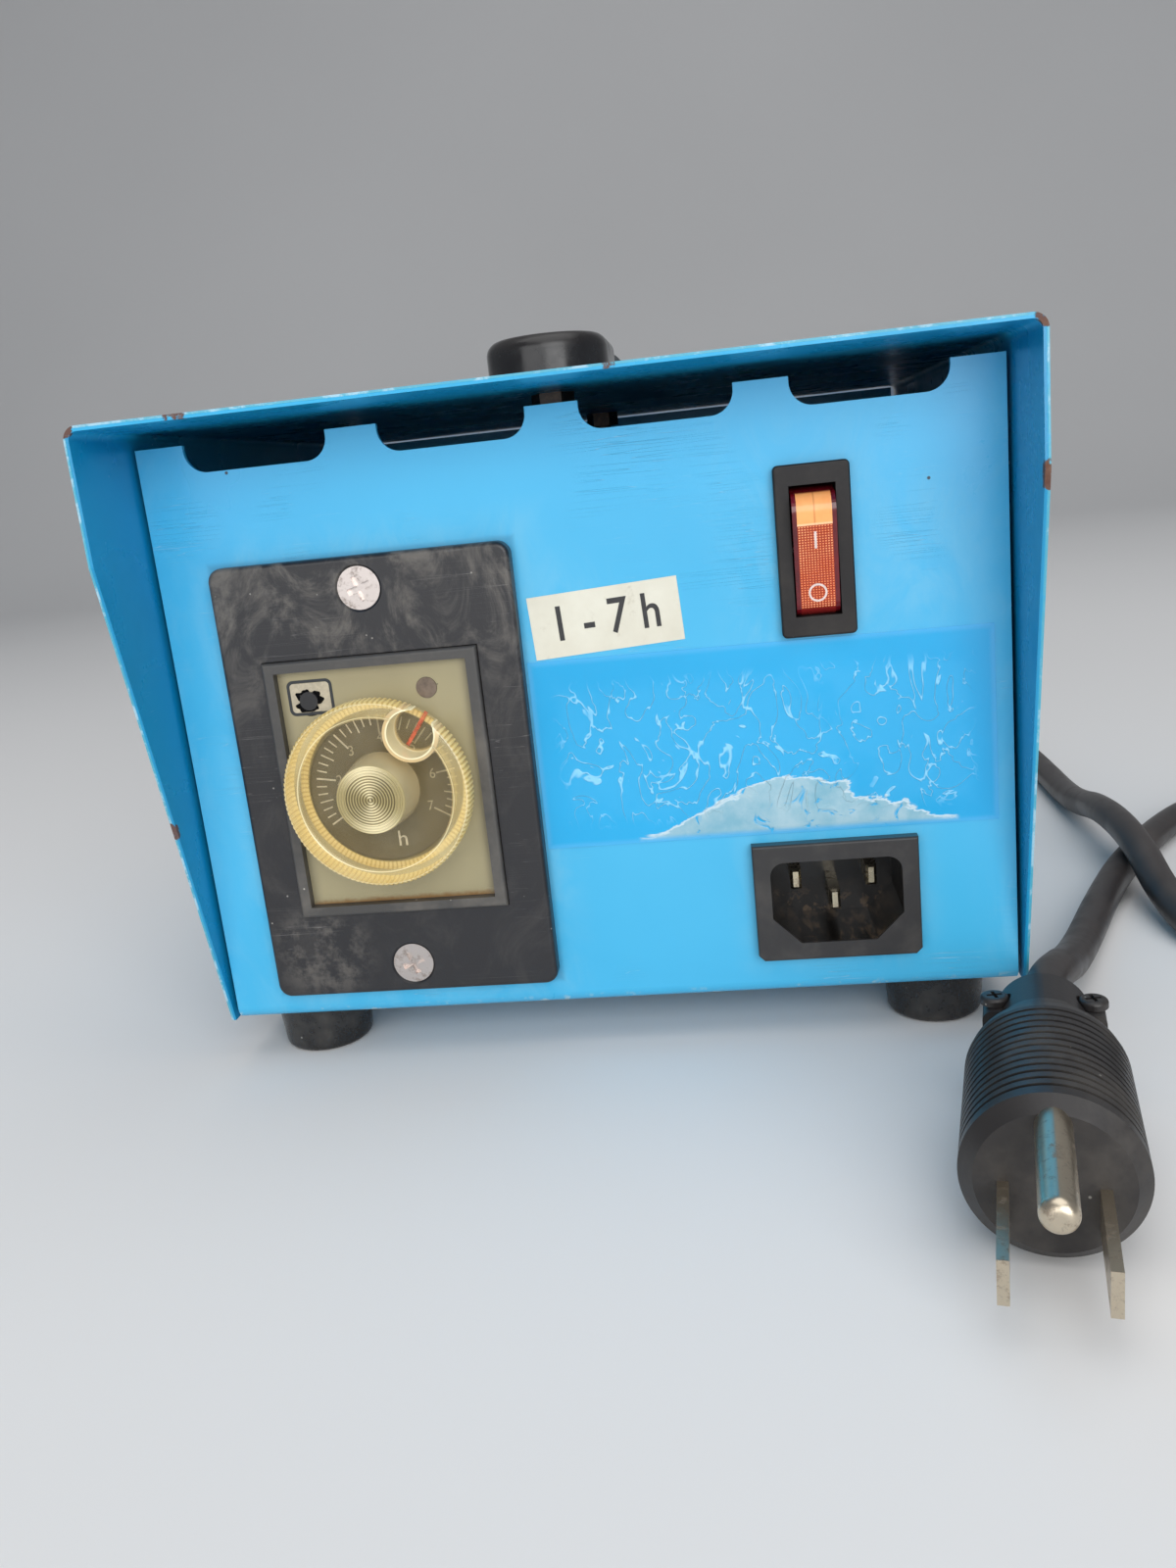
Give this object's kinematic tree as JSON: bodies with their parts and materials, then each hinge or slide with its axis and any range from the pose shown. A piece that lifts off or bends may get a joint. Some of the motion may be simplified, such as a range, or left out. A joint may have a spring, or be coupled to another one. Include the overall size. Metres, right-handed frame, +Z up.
{
  "type": "timer-controlled power supply",
  "caption": "Small sheet-steel power supply case with a dial timer, rocker switch, appliance outlet, strap handle, rubber feet and a coiled mains lead.",
  "frame": {"origin": "on the surface the feet stand on, under the centre of the case, the cord left out", "axes": "+X to the right seen from the front, +Y from the front panel to the rear panel, +Z up"},
  "size_m": [0.3085, 0.341, 0.1331],
  "materials": {
    "blue_enamel": "gloss enamel, scuffed",
    "zinc": "zinc plated",
    "black_rubber": "satin",
    "handle_plastic": "gloss",
    "strap": "satin",
    "plate_plastic": "satin",
    "timer_grey": "satin",
    "face_grey": "semi-gloss",
    "scale_print": "printed",
    "clear_knob": "clear, yellowed",
    "pointer_red": "gloss",
    "shaft_nylon": "moulded",
    "pot_body": "moulded",
    "board": "laminate",
    "relay": "moulded",
    "can_sleeve": "sleeve",
    "button_black": "gloss",
    "lamp_amber": "tinted",
    "phenolic": "moulded",
    "brass": "plated",
    "switch_black": "satin",
    "rocker_red": "translucent",
    "rocker_orange": "translucent",
    "lamp_glass": "clear",
    "label_cream": "satin",
    "film_blue": "gloss film",
    "laminations": "varnished",
    "bobbin": "moulded",
    "winding": "enamelled copper",
    "bracket_steel": "plated",
    "rectifier_case": "moulded",
    "strip_black": "moulded",
    "fuse_glass": "clear",
    "wire_sleeve": "satin",
    "cord_rubber": "satin",
    "plug_rubber": "satin",
    "pin_metal": "worn plating"
  },
  "bodies": {
    "case": {"chassis": "blue_enamel", "top_cover": "blue_enamel", "cover_screws": "zinc", "rubber_feet": "black_rubber", "foot_screws": "zinc", "foot_washers": "zinc", "foot_nuts": "zinc", "handle_cap_front": "handle_plastic", "handle_cap_rear": "handle_plastic", "strap_front_run": "strap", "strap_rear_run": "strap", "handle_screws": "zinc", "handle_nuts": "zinc", "timer_plate": "plate_plastic", "plate_screws": "zinc", "plate_nuts": "zinc", "timer_case": "timer_grey", "timer_face": "face_grey", "dial_scale": "scale_print", "dial_potentiometer": "pot_body", "timer_board": "board", "timer_relay": "relay", "timer_smoothing_can": "can_sleeve", "reset_switch": "switch_black", "run_lamp": "lamp_amber", "octal_base": "phenolic", "octal_pins": "brass", "octal_socket": "phenolic", "timer_clamp": "timer_grey", "rocker_housing": "switch_black", "rocker_terminals": "brass", "rocker_lamp": "lamp_glass", "outlet_body": "switch_black", "outlet_pins": "brass", "range_label": "label_cream", "panel_film": "film_blue", "transformer_core": "laminations", "transformer_bobbin": "bobbin", "transformer_winding": "winding", "transformer_frame": "bracket_steel", "bridge_rectifier": "rectifier_case", "capacitor": "can_sleeve", "terminal_strip": "strip_black", "fuse_block": "strip_black", "glass_fuse": "fuse_glass", "small_screws": "zinc", "inner_wires": "wire_sleeve", "strain_relief": "plug_rubber", "lead_out": "cord_rubber", "lead_in": "cord_rubber", "lead_coil": "cord_rubber", "mains_plug": "plug_rubber", "plug_pins": "pin_metal"},
    "dial": {"dial_knob": "clear_knob", "dial_pointer": "pointer_red", "dial_shaft": "shaft_nylon"},
    "reset_button": {"reset_button": "button_black"},
    "rocker": {"rocker_paddle": "rocker_red", "rocker_lens": "rocker_orange"},
    "strap": {"strap_grip": "strap"}
  },
  "joints": [
    {"name": "dial_turn", "type": "hinge", "parent": "case", "child": "dial", "pos_m": [-0.0375, -0.068, 0.0564], "axis": [0, 1, 0], "range_deg": [-184, 109]},
    {"name": "reset_press", "type": "slide", "parent": "case", "child": "reset_button", "axis": [0, 1, 0], "range_m": [0, 0.0012], "stiffness_N_per_m": 500, "springref_m": -0.0006},
    {"name": "rocker_tilt", "type": "hinge", "parent": "case", "child": "rocker", "pos_m": [0.0431, -0.064, 0.0915], "axis": [-1, 0, 0], "range_deg": [0, 16]},
    {"name": "strap_bow", "type": "slide", "parent": "case", "child": "strap", "axis": [0, 0, 1], "range_m": [0, 0.013], "deforming": ["strap_front_run", "strap_rear_run"]}
  ]
}
